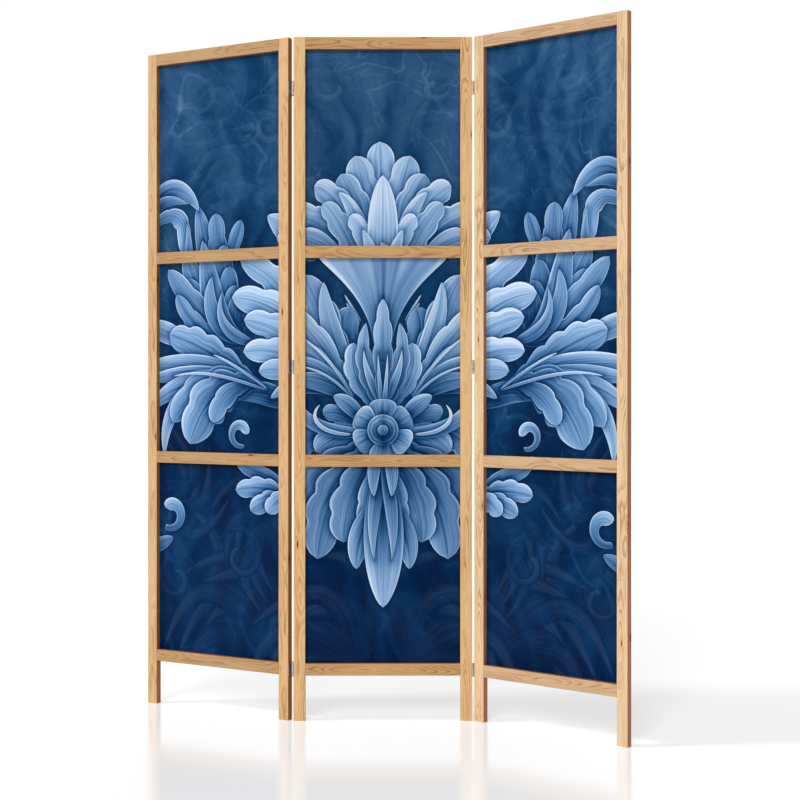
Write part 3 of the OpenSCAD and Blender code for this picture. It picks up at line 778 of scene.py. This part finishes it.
wisps = ((1.7, 0.9, 0.030, 0.20), (3.1, 0.55, 0.022, 0.15), (5.0, 0.40, 0.030, 0.10))
rim_lift = 0.17
vein_drop = -0.14
shade_drop = -0.42
cast_shade = dye(2, 26, 54)
ground_shades = {0.0: (0, 30, 60), 0.22: (4, 42, 78), 0.45: (20, 60, 96), 0.70: (48, 84, 120),
                 1.0: (84, 116, 150)}
leaf_shades = {0.0: (8, 42, 80), 0.2: (34, 74, 116), 0.4: (70, 108, 152), 0.6: (106, 142, 184),
               0.8: (150, 180, 214), 1.0: (200, 216, 236)}


def shades(tree, level, steps):
    """Colours the level, 0 to 1, through the printer's shades."""
    ramp = add(tree, "ShaderNodeValToRGB", {"Fac": level})
    stops = ramp.color_ramp.elements
    stops[0].color = dye(*steps[0.0])
    stops[1].color = dye(*steps[1.0])
    for place in list(steps)[1:-1]:
        stops.new(place).color = dye(*steps[place])
    return ramp.outputs[0]


def ornament_group():
    """The print: leaves with veins, rims and shade, laid on a mottled ground."""
    tree, _, out = group_of("ornament print", {},
                            {"Color": "NodeSocketColor", "Fleece": "NodeSocketFloat"})
    art = add(tree, "ShaderNodeUVMap", uv_map="art").outputs[0]
    leaf_at = add(tree, "ShaderNodeAttribute", attribute_name="leaf").outputs["Vector"]
    lay_at = add(tree, "ShaderNodeAttribute", attribute_name="lay").outputs["Vector"]
    cover = add(tree, "ShaderNodeAttribute", attribute_name="cover").outputs["Fac"]
    run, share, tone = add(tree, "ShaderNodeSeparateXYZ", {0: leaf_at}).outputs
    shadow, light, seed = add(tree, "ShaderNodeSeparateXYZ", {0: lay_at}).outputs

    # Ground: slate at the top falling to deep navy, clouded and combed into slow swirls.
    sideways, height, _ = add(tree, "ShaderNodeSeparateXYZ", {0: art}).outputs
    warp = cloud(tree, art, 2.2, 2.0, 0.5).outputs["Color"]
    warp = add(tree, "ShaderNodeVectorMath", {0: warp, 1: (0.55, 0.55, 0)}, operation="MULTIPLY")
    swirled = add(tree, "ShaderNodeVectorMath", {0: art, 1: warp.outputs[0]}).outputs[0]
    combed = add(tree, "ShaderNodeTexWave", {"Vector": swirled, "Scale": 3.2, "Distortion": 7.0,
                 "Detail": 3.0, "Detail Scale": 1.6, "Detail Roughness": 0.62}).outputs["Fac"]
    mottle = cloud(tree, swirled, 5.5, 5.0, 0.62).outputs[0]
    stain = cloud(tree, art, 2.0, 3.0, 0.5).outputs[0]
    lift = calc(tree, "MULTIPLY", height, 0.34)
    lift = calc(tree, "MULTIPLY_ADD", mottle, 0.70, lift)
    lift = calc(tree, "MULTIPLY_ADD", stain, 0.60, lift)
    lift = calc(tree, "MULTIPLY_ADD", combed, 0.16, lift)
    for scale, reach, width, strength in wisps:
        drift = cloud(tree, art, scale, 2.0, 0.5).outputs["Color"]
        drift = add(tree, "ShaderNodeVectorMath", {0: drift, 1: (reach, reach, 0)},
                    operation="MULTIPLY").outputs[0]
        drift = add(tree, "ShaderNodeVectorMath", {0: art, 1: drift}).outputs[0]
        wisp = cloud(tree, drift, scale * 3.0, 2.0, 0.45).outputs[0]
        wisp = calc(tree, "ABSOLUTE", calc(tree, "SUBTRACT", wisp, 0.5))
        wisp = rise(tree, wisp, width, 0.0)
        faded = rise(tree, cloud(tree, art, scale * 2.3, 1.0, 0.5).outputs[0], 0.42, 0.66)
        lift = calc(tree, "MULTIPLY_ADD", calc(tree, "MULTIPLY", wisp, faded), strength, lift)
    sideways = calc(tree, "ABSOLUTE", sideways)
    lift = calc(tree, "SUBTRACT", lift, rise(tree, sideways, 0.20, 0.32, 0.66, 0.74))
    ground = shades(tree, lift, ground_shades)

    # Leaf: darker at the base, combed with fine strokes, a vein, and a pale worn rim.
    off = calc(tree, "ABSOLUTE", share)
    fanned = calc(tree, "MULTIPLY_ADD", off, -0.35, run)
    strokes = add(tree, "ShaderNodeCombineXYZ", {"X": calc(tree, "MULTIPLY", fanned, 1.3),
                  "Y": calc(tree, "MULTIPLY", share, 6.5), "Z": calc(tree, "MULTIPLY", seed, 9.0)})
    broad = cloud(tree, strokes.outputs[0], 1.0, 1.0, 0.5).outputs[0]
    finer = add(tree, "ShaderNodeVectorMath", {0: strokes.outputs[0], 1: (1.6, 3.4, 1.0)},
                operation="MULTIPLY").outputs[0]
    finer = cloud(tree, finer, 1.0, 2.0, 0.7).outputs[0]
    rim = rise(tree, off, 0.86, 0.97)
    vein = rise(tree, off, 0.07, 0.02)
    level = calc(tree, "MULTIPLY_ADD", rise(tree, run, 0.0, 0.95), 0.34, -0.20)
    level = calc(tree, "ADD", level, calc(tree, "MULTIPLY", tone, 0.80))
    level = calc(tree, "MULTIPLY_ADD", light, 0.16, level)
    level = calc(tree, "ADD", level, calc(tree, "MULTIPLY_ADD", broad, 0.46, -0.23))
    level = calc(tree, "ADD", level, calc(tree, "MULTIPLY_ADD", finer, 0.26, -0.13))
    level = calc(tree, "MULTIPLY_ADD", rim, rim_lift, level)
    level = calc(tree, "MULTIPLY_ADD", vein, vein_drop, level)
    level = calc(tree, "MULTIPLY_ADD", calc(tree, "MULTIPLY", off, off), 0.13, level)
    level = calc(tree, "MULTIPLY_ADD", shadow, shade_drop, level)
    level = calc(tree, "ADD", level, rise(tree, sideways, 0.45, 0.10, -0.03, 0.05))
    painted = shades(tree, level, leaf_shades)
    ground = tint(tree, calc(tree, "MULTIPLY", shadow, 0.55), ground, cast_shade)
    soft = rise(tree, cover, 0.9, 0.5)
    soft = calc(tree, "MULTIPLY", soft, rise(tree, off, 0.15, 1.0))
    soft = calc(tree, "MULTIPLY", soft, rise(tree, run, 0.0, 0.6, 0.6, 1.0))
    cover = calc(tree, "MULTIPLY", cover, calc(tree, "SUBTRACT", 1.0, soft))
    shade = tint(tree, cover, ground, painted)
    tree.links.new(shade, out.inputs["Color"])
    fibres = cloud(tree, art, 900.0, 3.0, 0.7).outputs[0]
    tree.links.new(fibres, out.inputs["Fleece"])
    return tree


fleece_white = dye(226, 230, 234)
fleece_depth = 0.0003
show_through = 0.24

ornament_print = ornament_group()
print_front, tree, shader = finish_of("printed_fleece")
print_node = add(tree, "ShaderNodeGroup", {}, node_tree=ornament_print)
tree.links.new(print_node.outputs["Color"], shader.inputs["Base Color"])
bump = add(tree, "ShaderNodeBump", {"Height": print_node.outputs["Fleece"], "Strength": 0.25,
           "Distance": fleece_depth})
tree.links.new(bump.outputs[0], shader.inputs["Normal"])
shader.inputs["Roughness"].default_value = 0.85
shader.inputs["Specular IOR Level"].default_value = 0.06

print_back, tree, shader = finish_of("fleece_back")
print_node = add(tree, "ShaderNodeGroup", {}, node_tree=ornament_print)
mixed = tint(tree, show_through, fleece_white, print_node.outputs["Color"])
tree.links.new(mixed, shader.inputs["Base Color"])
bump = add(tree, "ShaderNodeBump", {"Height": print_node.outputs["Fleece"], "Strength": 0.35,
           "Distance": fleece_depth})
tree.links.new(bump.outputs[0], shader.inputs["Normal"])
shader.inputs["Roughness"].default_value = 0.92
shader.inputs["Specular IOR Level"].default_value = 0.15

for panel in panels:
    cloth = cloth_solid(f"{panel}_print", panel)
    cloth.data.materials.append(print_front)
    cloth.data.materials.append(print_back)


# ---- Beads --------------------------------------------------------------------------------
# Four thin pine strips in the rabbet behind each cloth, two up the sides and two across,
# hold the cloth against the frame. They are planed but not waxed.
bead_pale = dye(236, 196, 146)
bead_dark = dye(208, 156, 102)
bead_first_board = 41.0
bead_ring_gap = 3.1
bead_heart_off = 30.0
for p, panel in enumerate(panels):
    for b, beads in enumerate(("side_beads", "cross_beads")):
        node = f"{panel}_panel_{beads}"
        timber(f"bead_{node}", node, panel, beads == "cross_beads", bead_pale, bead_dark,
               bead_first_board + 2 * p + b, gap=bead_ring_gap, heart=bead_heart_off, knots=0.0)


# ---- Brads --------------------------------------------------------------------------------
# Short steel brads with small flat heads pin the beads to the frame. They are plain drawn
# wire, a little dulled by handling.
drawn_line_depth = 0.00005


def metal_group():
    """Worn bright metal: drawn lines, dull patches and small dark marks."""
    number = "NodeSocketFloat"
    colour = "NodeSocketColor"
    tree, given, out = group_of("worn metal", {
        "Bright": (colour, dye(200, 200, 200)), "Dull": (colour, dye(120, 118, 116)),
        "Grain": (number, 3000.0), "Wear": (number, 0.5)},
        {"Color": colour, "Roughness": number, "Height": number})
    here = add(tree, "ShaderNodeTexCoord").outputs["Object"]
    patch = rise(tree, cloud(tree, here, 160.0, 4.0, 0.6).outputs[0], 0.35, 0.72)
    lines = add(tree, "ShaderNodeMapping", {"Vector": here, "Scale": (1.0, 1.0, 0.06)})
    lines = cloud(tree, lines.outputs[0], 1.0, 2.0, 0.6)
    tree.links.new(given["Grain"], lines.inputs["Scale"])
    worn = calc(tree, "MULTIPLY", patch, given["Wear"])
    shade = tint(tree, worn, given["Bright"], given["Dull"])
    marks = calc(tree, "MULTIPLY_ADD", lines.outputs[0], 0.3, -0.08, clamp=True)
    shade = tint(tree, marks, shade, given["Dull"])
    tree.links.new(shade, out.inputs["Color"])
    rough = calc(tree, "MULTIPLY_ADD", worn, 0.25, 0.26)
    tree.links.new(calc(tree, "MULTIPLY_ADD", lines.outputs[0], 0.12, rough), out.inputs["Roughness"])
    tree.links.new(lines.outputs[0], out.inputs["Height"])
    return tree


worn_metal = metal_group()


def metal(name, nodes, bright, dull, wear):
    """One metal finish on several nodes."""
    material, tree, shader = finish_of(name)
    worn = add(tree, "ShaderNodeGroup", {}, node_tree=worn_metal)
    worn.inputs["Bright"].default_value = bright
    worn.inputs["Dull"].default_value = dull
    worn.inputs["Wear"].default_value = wear
    bump = add(tree, "ShaderNodeBump", {"Height": worn.outputs["Height"], "Strength": 0.2,
               "Distance": drawn_line_depth})
    tree.links.new(worn.outputs["Color"], shader.inputs["Base Color"])
    tree.links.new(worn.outputs["Roughness"], shader.inputs["Roughness"])
    tree.links.new(bump.outputs[0], shader.inputs["Normal"])
    shader.inputs["Metallic"].default_value = 1.0
    for node in nodes:
        mesh = frame["nodes"][node].data
        mesh.materials.clear()
        mesh.materials.append(material)


metal("brad_wire", [f"{panel}_panel_brads" for panel in panels],
      dye(176, 176, 178), dye(96, 94, 92), 0.7)


# ---- Hinges -------------------------------------------------------------------------------
# Three two-way hinges at each joint: stamped, nickel-plated leaves and a link between them,
# turning on two headed steel pins. Crossed countersunk screws hold each leaf.
sides = ("left", "right")
heights = ("top", "middle", "bottom")
plates = ("inner_leaf", "link", "outer_leaf")
metal("nickel_plate", [f"{side}_{height}_hinge_{plate}" for side in sides for height in heights
                       for plate in plates], dye(206, 198, 192), dye(132, 122, 116), 0.6)
metal("hinge_pin_steel", [f"{side}_hinge_{row}_pins" for side in sides for row in ("front", "back")],
      dye(190, 184, 180), dye(98, 92, 88), 0.5)
metal("screw_zinc", [f"{side}_hinge_{end}_screws" for side in sides for end in ("inner", "outer")],
      dye(196, 194, 186), dye(110, 106, 98), 0.6)
